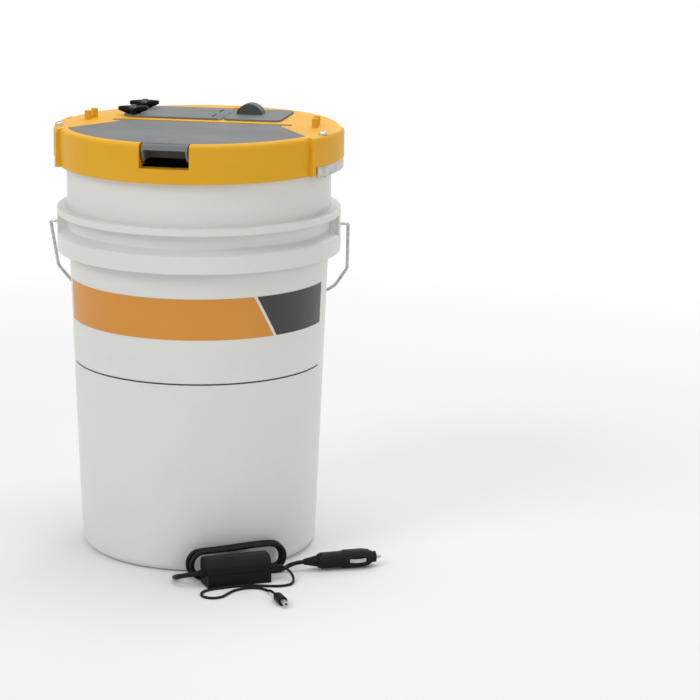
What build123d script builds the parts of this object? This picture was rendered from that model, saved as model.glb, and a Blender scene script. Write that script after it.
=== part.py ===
from build123d import *
import math
import os

# Aerated bait bucket: a white pail with a moulded lid, a hinged flap over the
# opening, battery and aerator covers, swing-out side latches and a wire bail.
# A weighted diffuser sits on the pail's floor, and the vehicle lead with its
# adapter lies in front.  Millimetres, +Z up.  The origin is the middle of the
# pail's base, and the flap's pull tab faces -Y.

# ---- pail -------------------------------------------------------------------
base_radius = 129.0        # outside of the wall where it leaves the floor corner
wall_draft = 2.0           # degrees that the wall leans outward
wall = 2.3
floor_thickness = 2.6
foot_height = 3.0          # standing ring below the floor
foot_radius = 112.0        # inside of the standing ring
base_corner = 11.0
ring_z = 330.0             # lower edge of the lower flange ring
ring_radius = 153.5
ring_skirt = 18.0          # height of the lower ring's skirt
ring_slope = 7.0
ring_gap = 22.0            # from the lower ring's top to the upper ring's top
ring_lip = 7.0             # height of the upper ring's lip
ring_wall = 2.2
recess_radius = 143.0      # outside of the wall between the two rings
neck_radius = 142.5
pail_height = 433.0
bead_radius = 145.8        # bead round the rim
bead_height = 8.0
bead_gap = 1.0             # bead to the lid's skirt
step_radius = 96.0         # raised middle of the floor
step_height = 1.2
rib_count = 24             # ribs below the lower ring
rib_width = 1.8

# ---- bail -------------------------------------------------------------------
bail_turn = 11.0           # degrees from the lid's X axis to the bail's pivots
wire_radius = 1.8
running_gap = 0.1          # radial clearance of a pin or wire in its hole
bail_z = 357.0
ear_width = 46.0
ear_wall = 2.4
leg_offset = 161.5         # middle of a straight leg, from the pail's axis
leg_length = 98.0
bail_drop = 201.0          # from the pivots to the middle of the grip
shoulder_in = 14.0
shoulder_drop = 43.0
grip_length = 110.0
grip_radius = 13.0
grip_flange = 14.5
hang_gap = 0.3             # grip to pail wall at rest
wire_head = 2.7            # upset end behind the ear
head_setback = 3.6         # from the recess wall to the middle of the upset end

# ---- lid --------------------------------------------------------------------
lid_radius = 152.0
lid_top = 464.0
lid_height = 41.0
lid_edge = 5.0             # rounding of the top edge
lid_draft = 1.4            # how far the skirt leans in at its lower edge
top_thickness = 4.0
plug_wall = 3.0            # wall that goes down inside the rim
plug_depth = 34.0
gasket_thickness = 2.4
fit_gap = 0.4              # moulded pieces that slide together
seat_gap = 0.3             # between a moving cover and its seat
bump_radius = 156.3
bump_from = -27.0          # degrees from +X, negative towards the front
bump_to = 8.0

# ---- opening and flap ---------------------------------------------------------
opening_radius = 128.0
opening_corner_x = 115.0
opening_rear_x = 77.0
flap_radius = 141.0
flap_tip_x = 128.3
flap_rear_x = 88.0
flap_rear_y = 3.0
flap_wing_x = 98.0
flap_gap = 1.0             # flap edge to the walls of its seat
flap_depth = 18.2
flap_plate = 2.6
flap_skirt = 2.2
hinge_y = 12.0
hinge_radius = 5.0
hinge_pin = 2.6
hinge_pin_length = 4.0
hinge_relief = 1.6         # room behind the barrel for the open flap
lip_depth = 24.0           # opening wall, from the lid's top
seat_wall = 2.6
arc_ribs = [24.0, 42.0, 61.0, 81.0, 102.0, 123.0]
spoke_angles = [-66.0, -44.0, -22.0, 0.0, 22.0, 44.0, 66.0]
rib_thickness = 1.5
flap_rib_depth = 10.0
tab_half = 24.5
tab_reach = 148.6
tab_drop = 6.5
tab_pocket = 27.0          # depth of the finger pocket behind the tab
notch_half = 26.5
notch_floor = 438.4
tongue_x = 47.0
tongue_half = 4.5
slit_width = 1.4
slit_height = 9.0

# ---- covers over the lid's rear half -----------------------------------------
cover_front_y = 31.0
cover_rear_y = 111.0
cover_thickness = 4.0
cover_rise = 2.0           # cover tops above the lid's top
cover_left_x = -80.0
cover_hinge_x = 11.0
cover_hinge_radius = 5.0
cover_pin = 2.2
aerator_left_x = 18.4
aerator_right_x = 82.0
aerator_corner = 9.0
tub_inset = 3.0            # ledge that carries a cover's edge
tub_wall = 2.4
battery_floor = 420.0
pump_floor = 424.0
ear_radius = 10.0          # ears of the battery cover, below the knobs
knob_x = -86.0
knob_ys = [46.0, 93.0]
knob_reach = 16.5
knob_waist = 9.0
knob_height = 9.0
knob_lobe = 5.2
stud_radius = 2.5
stud_depth = 7.0
stud_clearance = 1.0       # stud to its lid socket, wide because it lifts on an arc
finger_recess = (8.0, 42.0, 130.0)    # left, right and rear of the finger recess
jack_recess = (52.0, 67.0, 126.0)     # the same for the jack's recess
recess_depth = 9.0
hood_x = 40.0
hood_y = 75.0
hood_radius = 14.5
hood_length = 15.0
hood_wall = 1.8
rocker_width = 9.0
rocker_length = 12.0
rocker_tilt = 8.0          # degrees, with the rear end up
rocker_crown = 3.0         # ends of the rocker above its pivot
rocker_depth = 3.5
rocker_sink = 1.5          # pivot below the cover's top
rocker_gap = 0.3

# ---- inside --------------------------------------------------------------------
cell_radius = 16.6
cell_length = 61.0
cell_ys = [52.0, 90.0]
contact_thickness = 0.8
tube_x = 35.0
tube_y = 61.0
tube_radius = 3.5
tube_bore = 2.0
guard_radius = 10.0
guard_wall = 1.6
guard_bottom = 40.0
diffuser_x = 16.0
diffuser_y = 31.0
diffuser_radius = 43.5
diffuser_height = 12.0
hex_radius = 27.0
hex_rise = 1.0
notch_count = 12
motor_radius = 10.5
motor_length = 26.0
jack_flange = 6.0
jack_barrel = 4.3
jack_length = 9.0          # barrel of the jack below its flange
jack_rim = 1.6
jack_floor = 1.5
pin_gap = 0.15             # contact pin in the connector's bore

# ---- side latches ----------------------------------------------------------------
screw_angle = -16.3
screw_offset = 150.0
screw_radius = 2.0
screw_head = 4.6
screw_head_height = 3.4
latch_from = -23.5
latch_to = 10.0
latch_outer = 155.7
latch_sheet = 1.5
latch_bottom = 421.0
latch_band = 11.0
latch_hook = 143.6         # inner edge of the flange that reaches below the bead
latch_gap = 0.4
nut_radius = 4.04
nut_height = 3.6

# ---- vehicle lead (own frame: +X along the pail's wall, -Y away from it) ------------
lead_turn = -58.0          # where the lead's frame meets the pail
lead_seat = 1.3            # how far that frame lies inside the foot of the wall
supply_radius = 2.3
output_radius = 1.4
box_length = 70.0
box_depth = 27.0
box_height = 30.0
box_x = -12.0
box_front = 48.4
gland_z = 14.0
gland_length = 6.0
hank_pitch = 5.1
hank_first = 3.4           # first layer of the hank, from the pail's wall
hank_fold = [14.0, 13.5, 14.3]
hank_right = [37.0, 34.0, 36.0]
hank_left = [-43.0, -40.0, -42.0]
hank_begin = -47.0         # where the lead from the box joins the hank
hank_finish = 34.0         # where the lead to the plug leaves it
plug_radius = 10.2
plug_length = 58.0
plug_turn = 4.0            # degrees between the plug and the box
relief_length = 15.0
connector_radius = 5.0
connector_length = 22.0
shaft_radius = 2.75
shaft_length = 9.5
shaft_bore = 1.25

slope = math.tan(math.radians(wall_draft))
seat_z = lid_top - flap_depth - seat_gap
cover_top = lid_top + cover_rise
cover_seat = cover_top - cover_thickness
channel_z = pail_height + gasket_thickness
skirt_z = lid_top - lid_height
floor_z = foot_height + floor_thickness + step_height
plug_outer = neck_radius - wall - fit_gap
box_rear = box_front - box_depth


def wall_at(z):
    """Outside radius of the pail's drafted wall at a height."""
    return base_radius + z * slope


def turned(points, radii=None):
    """Solid of revolution about Z from (radius, height) points."""
    corners = [(r, 0, z) for r, z in points]
    rounding = radii if radii else [0] * len(corners)
    outline = FilletPolyline(*corners, radius=rounding, close=True)
    return revolve(make_face(outline), Axis.Z)


def sector(inner, outer, low, high, start, end):
    """Block between two radii, two heights and two angles in degrees."""
    corners = [(inner, 0, low), (outer, 0, low), (outer, 0, high), (inner, 0, high)]
    face = make_face(Polyline(*corners, close=True))
    return Rot(0, 0, start) * revolve(face, Axis.Z, revolution_arc=end - start)


def disc(radius, low, high, x=0.0, y=0.0):
    """Upright cylinder between two heights."""
    return Pos(x, y, (low + high) / 2) * Cylinder(radius, high - low)


def block(x0, x1, y0, y1, z0, z1):
    """Box between two corners."""
    middle = Pos((x0 + x1) / 2, (y0 + y1) / 2, (z0 + z1) / 2)
    return middle * Box(x1 - x0, y1 - y0, z1 - z0)


def rod(start, end, radius):
    """Round bar between two points."""
    line = Line(start, end)
    return sweep(Plane(origin=line @ 0, z_dir=line % 0) * Circle(radius), path=line)


def prism(outline, low, high):
    """Upright block over a flat outline."""
    return Pos(0, 0, low) * extrude(outline, amount=high - low)


def rounded_box(x0, x1, y0, y1, z0, z1, corner):
    """Box whose upright corners are rounded."""
    face = Pos((x0 + x1) / 2, (y0 + y1) / 2) * RectangleRounded(x1 - x0, y1 - y0, corner)
    return prism(face, z0, z1)


# ---- outlines -------------------------------------------------------------------------

def flap_outline(grow=0.0):
    """Plan of the flap without its tab, moved outward by grow."""
    radius = flap_radius + grow
    tip_x = flap_tip_x + grow * 0.9
    tip_y = -math.sqrt(radius ** 2 - tip_x ** 2)
    wing_y = hinge_y - hinge_radius - grow
    rear_y = hinge_y + hinge_radius + grow
    right = [
        (tip_x, tip_y), (flap_rear_x + grow, flap_rear_y), (flap_rear_x + grow, wing_y),
        (flap_wing_x + grow, wing_y), (flap_wing_x + grow, rear_y),
    ]
    left = [(-x, y) for x, y in reversed(right)]
    front = ThreePointArc(left[-1], (0, -radius), right[0])
    return make_face([front, Polyline(*right, *left)])


def opening_outline(grow=0.0):
    """Plan of the lid's opening, moved outward by grow."""
    radius = opening_radius + grow
    corner_x = opening_corner_x + grow
    corner_y = -math.sqrt(radius ** 2 - corner_x ** 2)
    rear_x = opening_rear_x + grow
    rear = [(corner_x, corner_y), (rear_x, grow), (-rear_x, grow), (-corner_x, corner_y)]
    front = ThreePointArc(rear[-1], (0, -radius), rear[0])
    return make_face([front, Polyline(*rear)])


# ---- pail ------------------------------------------------------------------------------

def make_pail():
    ring_top = ring_z + ring_skirt
    shelf_z = ring_top + ring_slope
    upper_z = shelf_z + ring_gap
    under = wall_at(shelf_z) + 0.2
    inner_neck = neck_radius - wall
    lip_in = ring_radius - ring_wall
    inner_base = base_radius - wall
    floor_top = foot_height + floor_thickness
    points = [
        (0, foot_height), (foot_radius, foot_height), (foot_radius, 0), (base_radius, 0),
        (wall_at(ring_z), ring_z), (under, shelf_z - 3), (lip_in, ring_top - 2.4),
        (lip_in, ring_z), (ring_radius, ring_z), (ring_radius, ring_top),
        (recess_radius, shelf_z), (recess_radius, upper_z - 2.4), (lip_in, upper_z - 2.4),
        (lip_in, upper_z - ring_lip), (ring_radius, upper_z - ring_lip),
        (ring_radius, upper_z), (neck_radius, upper_z),
        (neck_radius, pail_height - bead_height), (bead_radius, pail_height - bead_height),
        (bead_radius, pail_height), (inner_neck, pail_height), (inner_neck, shelf_z + 2),
        (wall_at(shelf_z) - wall, shelf_z - 6), (inner_base, floor_top),
        (step_radius, floor_top), (step_radius - 2, floor_z), (0, floor_z),
    ]
    radii = [0] * len(points)
    radii[3] = base_corner
    radii[9] = 1.2
    radii[10] = 1.5
    radii[15] = 1.2
    radii[19] = 2.0
    radii[23] = base_corner - wall
    pail = turned(points, radii)
    rib = block(wall_at(ring_z) - 0.6, lip_in + 0.4, -rib_width / 2, rib_width / 2,
                ring_z + 3, ring_top - 3)
    rib_step = 360 / rib_count
    ribs = [Rot(0, 0, (i + 0.5) * rib_step) * rib for i in range(rib_count)]
    return pail + ribs + [make_ear(side) for side in (0, 180)] - ear_holes()


def make_ear(side):
    """Plate between the two rings that carries one end of the bail."""
    half = math.degrees(ear_width / 2 / ring_radius)
    low = ring_z + ring_skirt - 3
    high = ring_z + ring_skirt + ring_slope + ring_gap - 2
    plate = sector(ring_radius - ear_wall, ring_radius - 0.2, low, high, -half, half)
    cheek = block(recess_radius - 1, ring_radius - 1, -ring_wall / 2, ring_wall / 2, low, high)
    cheeks = [Rot(0, 0, a) * cheek for a in (-half + 0.6, half - 0.6)]
    return Rot(0, 0, bail_turn + side) * (plate + cheeks)


def ear_holes():
    hole = Rot(0, 90, 0) * Cylinder(wire_radius + running_gap, 8)
    return [Rot(0, 0, bail_turn + side) * Pos(ring_radius - 1, 0, bail_z) * hole
            for side in (0, 180)]


# ---- bail -------------------------------------------------------------------------------

def hang_angle():
    """Degrees from straight down at which the grip meets the pail's wall."""
    angle = math.radians(45)
    for _ in range(30):
        z = bail_z - bail_drop * math.cos(angle)
        reach = wall_at(z + grip_flange * math.sin(angle)) + grip_flange + hang_gap
        angle = math.asin(reach / bail_drop)
    return math.degrees(angle)


def hung(shape):
    """Moves a piece from the bail's flat plane to where the bail hangs."""
    return Pos(0, 0, bail_z) * Rot(0, 0, bail_turn) * Rot(hang_angle(), 0, 0) * shape


def make_bail():
    inside = recess_radius + head_setback
    grip_end = grip_length / 2 + 4
    half = [
        (leg_offset, 0, 0), (leg_offset, 0, -leg_length),
        (leg_offset - shoulder_in, 0, -leg_length - shoulder_drop),
        (grip_end + 42, 0, -bail_drop + 15), (grip_end, 0, -bail_drop),
    ]
    radii = [4.0, 30.0, 40.0, 30.0, 10.0]
    right = [(inside, 0, 0)] + half
    left = [(-x, y, z) for x, y, z in reversed(right)]
    path = FilletPolyline(*right, *left, radius=radii + radii[::-1])
    start = Plane(origin=path @ 0, z_dir=path % 0)
    wire = sweep(start * Circle(wire_radius), path=path)
    head = Rot(0, 90, 0) * Cylinder(wire_head, 2.4)
    heads = [Pos(x, 0, 0) * head for x in (inside, -inside)]
    return hung(wire + heads)


def make_grip():
    bore = wire_radius + running_gap
    half = grip_length / 2
    points = [(bore, -half), (grip_flange, -half), (grip_flange, 3 - half),
              (grip_radius, 6 - half), (grip_radius - 1.2, 0), (grip_radius, half - 6),
              (grip_flange, half - 3), (grip_flange, half), (bore, half)]
    grip = turned(points)
    return hung(Pos(0, 0, -bail_drop) * Rot(0, 90, 0) * grip)


# ---- lid --------------------------------------------------------------------------------

def lid_shell():
    bead_clear = bead_radius + bead_gap
    points = [
        (0, lid_top), (lid_radius, lid_top), (lid_radius, lid_top - lid_height / 2),
        (lid_radius - lid_draft, skirt_z), (bead_clear, skirt_z), (bead_clear, channel_z),
        (plug_outer, channel_z), (plug_outer, lid_top - plug_depth),
        (plug_outer - plug_wall, lid_top - plug_depth),
        (plug_outer - plug_wall, lid_top - top_thickness), (0, lid_top - top_thickness),
    ]
    radii = [0] * len(points)
    radii[1] = lid_edge
    radii[2] = 40.0
    return turned(points, radii)


def side_bump():
    points = [(lid_radius - 3, skirt_z), (bump_radius, skirt_z),
              (bump_radius, lid_top), (lid_radius - 3, lid_top)]
    corners = [(r, 0, z) for r, z in points]
    outline = FilletPolyline(*corners, radius=[0, 0, lid_edge, 0], close=True)
    bump = revolve(make_face(outline), Axis.Z, revolution_arc=bump_to - bump_from)
    return Rot(0, 0, bump_from) * bump


def both_sides(shape):
    """A piece on the right side and its mirror image on the left."""
    return [shape, mirror(shape, about=Plane.YZ)]


def latch_slot():
    """Room in the skirt for a side latch and its swing."""
    outer = bump_radius + 2
    high = latch_bottom + latch_band + latch_gap
    return sector(bead_radius + 1, outer, skirt_z - 5, high, latch_from - 1.2, latch_to + 1.2)


def screw_place(shape):
    return Rot(0, 0, screw_angle) * Pos(screw_offset, 0, 0) * shape


def cleat():
    """Two posts joined by a low wall, on the lid's side."""
    posts = [disc(3.6, lid_top - 1, lid_top + 9.5, x, y) for x, y in ((126, 6), (124, 25))]
    web = Pos(125, 15.5, lid_top + 1.5) * Rot(0, 0, 6) * Box(2.6, 19, 5)
    return posts[0] + posts[1] + web


def tub(x0, x1, y0, y1, floor):
    """Walls and floor of a box moulded below the lid's top."""
    w = tub_wall
    return block(x0 - w, x1 + w, y0 - w, y1 + w, floor - w, lid_top - 1)


def rear_pocket(recess, grow, low, high):
    """Block of a small recess behind the covers, moved outward by grow."""
    left, right, rear = recess
    return rounded_box(left - grow, right + grow, cover_rear_y - 2 - grow, rear + grow,
                       low, high, 4 + grow)


def battery_room():
    x1 = cover_hinge_x - cover_hinge_radius - 2.5
    return (cover_left_x + tub_inset, x1 - tub_wall,
            cover_front_y + tub_inset, cover_rear_y - tub_inset)


def pump_room():
    return (aerator_left_x + tub_inset, aerator_right_x - tub_inset,
            cover_front_y + tub_inset, cover_rear_y - tub_inset)


def cover_recess():
    """Shallow seat of both covers and the trough of the cover's hinge."""
    g = fit_gap
    low = cover_seat - seat_gap
    high = lid_top + 5
    left = block(cover_left_x - g, cover_hinge_x, cover_front_y - g, cover_rear_y + g, low, high)
    ears = [disc(ear_radius + g, low, high, knob_x, y) for y in knob_ys]
    ears += [block(knob_x, cover_left_x, y - ear_radius - g, y + ear_radius + g, low, high)
             for y in knob_ys]
    right = rounded_box(aerator_left_x - g, aerator_right_x + g, cover_front_y - g,
                        cover_rear_y + g, cover_seat, high, aerator_corner + g)
    reach = cover_hinge_radius + 1.2
    trough = block(cover_hinge_x - reach, cover_hinge_x + reach, cover_front_y - g,
                   cover_rear_y + g, hinge_height() - reach, high)
    return [left, right, trough] + ears


def hinge_height():
    return cover_top - cover_hinge_radius


def make_lid():
    body = lid_shell() + both_sides(side_bump())
    ledge = prism(flap_outline(flap_gap + seat_wall), seat_z - seat_wall, lid_top - 0.5)
    lip = prism(opening_outline(seat_wall), lid_top - lip_depth, seat_z)
    inside = disc(plug_outer - 0.5, lid_top - 60, lid_top)
    rooms = [tub(*battery_room(), battery_floor), tub(*pump_room(), pump_floor)]
    reach = cover_hinge_radius + 1.2
    trough = block(cover_hinge_x - reach - 2, cover_hinge_x + reach + 2, cover_front_y - 3,
                   cover_rear_y + 3, hinge_height() - reach - 2, lid_top - 1)
    bosses = [disc(ear_radius - 1, lid_top - 14, lid_top - 1, knob_x, y) for y in knob_ys]
    bosses += [rear_pocket(recess, 2, lid_top - recess_depth - 2, lid_top - 1)
               for recess in (finger_recess, jack_recess)]
    stop = disc(plug_outer - 0.5, lid_top - 60, lid_top) & (ledge + [lip, trough] + rooms + bosses)
    body = body + stop + (ledge & sector_front())
    body = body - lid_cuts()
    return body + both_sides(cleat()) + [line_peg()]


def sector_front():
    """The part of the lid's rim in which the flap's seat lies."""
    return disc(lid_radius - 4, seat_z - seat_wall, lid_top - 0.5)


def lid_cuts():
    seat = prism(flap_outline(flap_gap), seat_z, lid_top + 5)
    relief = block(-flap_wing_x - flap_gap, flap_wing_x + flap_gap, hinge_y,
                   hinge_y + hinge_radius + hinge_relief, seat_z, lid_top + 5)
    through = prism(opening_outline(), lid_top - 60, lid_top + 5)
    notch = block(-notch_half, notch_half, -lid_radius - 8, -opening_radius + 6,
                  notch_floor, lid_top + 5)
    rooms = []
    for room, floor in ((battery_room(), battery_floor), (pump_room(), pump_floor)):
        rooms.append(block(*room, floor, lid_top + 5))
    pins = rod((-flap_wing_x - hinge_pin_length - 1, hinge_y, hinge_height_flap()),
               (flap_wing_x + hinge_pin_length + 1, hinge_y, hinge_height_flap()),
               hinge_pin + running_gap)
    cover_pins = rod((cover_hinge_x, cover_front_y - 4, hinge_height()),
                     (cover_hinge_x, cover_rear_y + 4, hinge_height()),
                     cover_pin + running_gap)
    sockets = [disc(stud_radius + stud_clearance, cover_seat - stud_depth - 1.5, lid_top, knob_x, y)
               for y in knob_ys]
    finger = rear_pocket(finger_recess, 0, lid_top - recess_depth, lid_top + 5)
    jack = rear_pocket(jack_recess, 0, lid_top - recess_depth, lid_top + 5)
    rear = block(-25, 22, lid_radius - 5, lid_radius + 6, lid_top - 5, lid_top + 5)
    screw = screw_place(disc(screw_radius + running_gap, skirt_z - 5, lid_top + 5))
    tube_hole = disc(tube_radius + fit_gap, pump_floor - 10, pump_floor + 1, tube_x, tube_y)
    jack_hole = disc(jack_barrel + running_gap, lid_top - recess_depth - 8, lid_top, *jack_place())
    cuts = [seat, relief, through, notch, pins, cover_pins, finger, jack, rear, tube_hole, jack_hole]
    cuts += rooms + cover_recess() + sockets
    cuts += both_sides(latch_slot()) + both_sides(screw)
    return cuts


def hinge_height_flap():
    return lid_top - hinge_radius


def line_peg():
    """Small peg with a ball end on the opening's left wall."""
    x, y, z = -opening_corner_x + 16, -34.0, lid_top - 20.5
    base = (x - 6, y + 4, z)
    tip = (x + 8, y - 5, z)
    return rod(base, tip, 1.8) + Pos(*tip) * Sphere(3)


def make_gasket():
    ring = disc(bead_radius - 0.4, pail_height, channel_z) - disc(neck_radius - wall, pail_height, channel_z)
    return ring


# ---- flap ---------------------------------------------------------------------------------

def make_flap():
    bottom = lid_top - flap_depth
    plate = prism(flap_outline(), lid_top - flap_plate, lid_top)
    rear = block(-flap_wing_x - 1, flap_wing_x + 1, hinge_y - hinge_radius - 0.01, hinge_y + 9,
                 lid_top - 30, lid_top + 1)
    plate = plate - rear
    barrel = rod((-flap_wing_x, hinge_y, hinge_height_flap()),
                 (flap_wing_x, hinge_y, hinge_height_flap()), hinge_radius)
    web = block(-flap_wing_x, flap_wing_x, hinge_y - hinge_radius - 0.5, hinge_y,
                lid_top - flap_plate, lid_top)
    shell = prism(flap_outline(), bottom, lid_top - 1) - prism(flap_outline(-flap_skirt), bottom - 1, lid_top)
    keep = block(-200, 200, -200, flap_rear_y, bottom - 1, lid_top)
    rear_wall = block(-flap_rear_x, flap_rear_x, flap_rear_y - flap_skirt, flap_rear_y, bottom, lid_top - 1)
    skirt = (shell & keep) + rear_wall
    pin_z = hinge_height_flap()
    pins = [rod((s * (flap_wing_x - 1), hinge_y, pin_z),
                (s * (flap_wing_x + hinge_pin_length), hinge_y, pin_z), hinge_pin) for s in (-1, 1)]
    flap = plate + barrel + web + skirt + flap_ribs() + pins
    flap = flap - tab_pocket_cut() + make_tab() - tongue_slits()
    return flap + tongue_bumps()


def flap_ribs():
    low = lid_top - flap_plate - flap_rib_depth
    high = lid_top - 1
    y = flap_rear_y
    rings = None
    for radius in arc_ribs:
        ring = disc(radius + rib_thickness / 2, low, high, 0, y) - disc(radius - rib_thickness / 2, low, high, 0, y)
        rings = ring if rings is None else rings + ring
    spoke = block(-rib_thickness / 2, rib_thickness / 2, -160, -14, low, high)
    spokes = [Pos(0, y, 0) * Rot(0, 0, a) * spoke for a in spoke_angles]
    cross = block(-110, 110, y - 11, y - 11 + rib_thickness, low, high)
    inside = prism(flap_outline(-flap_skirt / 2), low, high)
    inside = inside & block(-200, 200, -200, y - 1, low, high)
    return inside & (rings + spokes + cross)


def tab_pocket_cut():
    """Clears the skirt and ribs where fingers reach below the tab."""
    rear = -tab_reach + tab_pocket
    return block(-tab_half + flap_skirt, tab_half - flap_skirt, -tab_reach - 2, rear,
                 lid_top - flap_depth - 1, lid_top - flap_plate)


def make_tab():
    """Pull tab: a plate that bends down, two side walls and a rear wall."""
    edge = -flap_radius + 2
    nose = -tab_reach
    top = lid_top
    low = lid_top - tab_drop
    t = flap_plate
    side = [(edge, top), (nose + 3, top - 2), (nose, low), (nose + t, low), (nose + t + 2, top - 2 - t),
            (edge, top - t)]
    outline = make_face(Polyline(*[(0, y, z) for y, z in side], close=True))
    plate = Pos(-tab_half, 0, 0) * extrude(outline, amount=2 * tab_half, dir=(1, 0, 0))
    wall_side = [(-tab_reach + tab_pocket, top - 1), (edge, top - 1), (nose + 3, top - 3), (nose, low),
                 (nose, low - 1), (nose + 6, top - flap_depth), (-tab_reach + tab_pocket, top - flap_depth)]
    cheek = make_face(Polyline(*[(0, y, z) for y, z in wall_side], close=True))
    cheeks = [Pos(x, 0, 0) * extrude(cheek, amount=flap_skirt, dir=(1, 0, 0))
              for x in (-tab_half, tab_half - flap_skirt)]
    rear = -tab_reach + tab_pocket
    back = block(-tab_half, tab_half, rear, rear + flap_skirt, top - flap_depth, top - 1)
    return plate + cheeks + back


def tongue_slits():
    """Slit pairs that free the two snap tongues in the skirt."""
    low = lid_top - flap_depth - 1
    slits = []
    for middle in (-tongue_x, tongue_x):
        for offset in (-tongue_half, tongue_half):
            x = middle + offset
            slits.append(block(x - slit_width / 2, x + slit_width / 2, -flap_radius - 1,
                               -flap_radius + 14, low, low + 1 + slit_height))
    return slits


def tongue_bumps():
    z = lid_top - flap_depth + 3
    bumps = []
    for x in (-tongue_x, tongue_x):
        y = -math.sqrt((flap_radius - flap_skirt) ** 2 - x ** 2)
        bumps.append(Pos(x, y, z) * Sphere(1.2))
    return bumps


# ---- covers and knobs -------------------------------------------------------------------------

def make_battery_cover():
    low = cover_seat
    plate = block(cover_left_x, cover_hinge_x - 1, cover_front_y, cover_rear_y, low, cover_top)
    ears = [disc(ear_radius, low, cover_top, knob_x, y) for y in knob_ys]
    bridges = [block(knob_x, cover_left_x + 1, y - ear_radius, y + ear_radius, low, cover_top) for y in knob_ys]
    z = hinge_height()
    barrel = rod((cover_hinge_x, cover_front_y, z), (cover_hinge_x, cover_rear_y, z), cover_hinge_radius)
    pin = rod((cover_hinge_x, cover_front_y - 3, z), (cover_hinge_x, cover_rear_y + 3, z), cover_pin)
    rib = block(cover_left_x + 8, cover_hinge_x - 14, cover_front_y + 8, cover_rear_y - 8, low - 2.5, low + 1)
    rib = rib - block(cover_left_x + 10, cover_hinge_x - 16, cover_front_y + 10, cover_rear_y - 10, low - 3, low)
    slots = [block(2.6, 4.8, y, y + 22, cover_top - 2, cover_top + 1) for y in (cover_front_y + 12, cover_rear_y - 34)]
    holes = [disc(stud_radius + running_gap, low - 1, cover_top + 1, knob_x, y) for y in knob_ys]
    return plate + ears + bridges + [barrel, pin, rib] - slots - holes


def make_knob(y):
    """Four-lobed knob with a hub that stands on the cover."""
    low = cover_top + seat_gap
    hub = disc(knob_waist, low, low + 3.4)
    base = low + 3
    lobes = disc(knob_waist, base, base + knob_height - 1)
    for i in range(4):
        place = Rot(0, 0, i * 90 + 12)
        bar = block(0, knob_reach - knob_lobe / 2, -knob_lobe / 2, knob_lobe / 2, base, base + knob_height)
        tip = disc(knob_lobe, base, base + knob_height - 2, knob_reach - knob_lobe, 0)
        lobes = lobes + place * (bar + tip)
    knob = hub + lobes
    knob = knob - disc(stud_radius, low - 1, low + 8)
    return Pos(knob_x, y, 0) * knob


def make_stud(y):
    return disc(stud_radius, cover_seat - stud_depth, cover_top + seat_gap + 8, knob_x, y)


def make_aerator_cover():
    cover = rounded_box(aerator_left_x, aerator_right_x, cover_front_y, cover_rear_y,
                        cover_seat, cover_top, aerator_corner)
    outer = hood_form(hood_radius, hood_length, 0)
    inner = hood_form(hood_radius - hood_wall, hood_length, hood_wall)
    half_x = rocker_width / 2 + rocker_gap
    half_y = rocker_length / 2 + rocker_gap
    window = block(hood_x - half_x, hood_x + half_x, rocker_y() - half_y, rocker_y() + half_y,
                   cover_seat - 1, cover_top + 1)
    return cover + outer - inner - window


def hood_form(radius, length, inset):
    """Half-round hood: an arch that is closed at the front and open at the rear."""
    front = hood_y - length / 2 + inset
    arch = Pos(hood_x, front + length / 2 + 0.5, cover_top) * Rot(90, 0, 0) * Cylinder(radius, length + 1)
    rear = hood_y + length / 2 + (1 if inset else 0)
    low = cover_top if inset else cover_top - 1
    keep = block(hood_x - 2 * radius, hood_x + 2 * radius, front, rear, low, cover_top + 2 * radius)
    return arch & keep


def make_rocker():
    """Rocker of the on/off switch, under the hood's open side."""
    half = rocker_length / 2
    side = [(-half, rocker_crown), (0, rocker_crown - 1.1), (half, rocker_crown),
            (half - 0.8, -rocker_depth), (0.8 - half, -rocker_depth)]
    outline = make_face(Polyline(*[(0, dy, dz) for dy, dz in side], close=True))
    body = Pos(-rocker_width / 2, 0, 0) * extrude(outline, amount=rocker_width, dir=(1, 0, 0))
    return Pos(hood_x, rocker_y(), cover_top - rocker_sink) * Rot(rocker_tilt, 0, 0) * body


def rocker_y():
    """Middle of the switch, partly below the hood's open end."""
    return hood_y + hood_length / 2 - 1


# ---- inside the lid -----------------------------------------------------------------------------

def make_cell(y):
    x0, x1 = battery_room()[0], battery_room()[1]
    middle = (x0 + x1) / 2
    half = cell_length / 2 - 1.2
    can = turned([(0, -half), (cell_radius, -half), (cell_radius, half), (0, half)], [0, 1.5, 1.5, 0])
    nub = Pos(0, 0, half + 0.6) * Cylinder(4.5, 1.2)
    return Pos(middle, y, battery_floor + cell_radius) * Rot(0, 90, 0) * (can + nub)


def make_contact(side):
    """Contact plate at one end of the cells, with a raised spring leaf for each."""
    x0, x1, y0, y1 = battery_room()
    wall_x = x0 if side < 0 else x1
    t = contact_thickness
    plate = block(min(wall_x, wall_x - side * t), max(wall_x, wall_x - side * t), y0 + 3, y1 - 3,
                  battery_floor, battery_floor + 30)
    middle = (x0 + x1) / 2
    face = middle + side * (cell_length / 2 - (1.2 if side < 0 else 0))
    reach = abs(wall_x - face) - seat_gap
    leaves = []
    for y in cell_ys:
        x = wall_x - side * reach / 2
        leaves.append(Pos(x, y, battery_floor + cell_radius) * Rot(0, 90, 0) * Cylinder(4, reach))
    return plate + leaves


def make_pump_housing():
    x0, x1, y0, y1 = pump_room()
    low = pump_floor
    body = rounded_box(x0 + 2, x0 + 34, y0 + 8, y0 + 46, low, low + 24, 4)
    bore = disc(tube_radius + fit_gap, low - 1, low + 6, tube_x, tube_y)
    cup = disc(9 + fit_gap, low + 18, low + 25, x0 + 18, y0 + 18)
    return body - bore - cup


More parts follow.
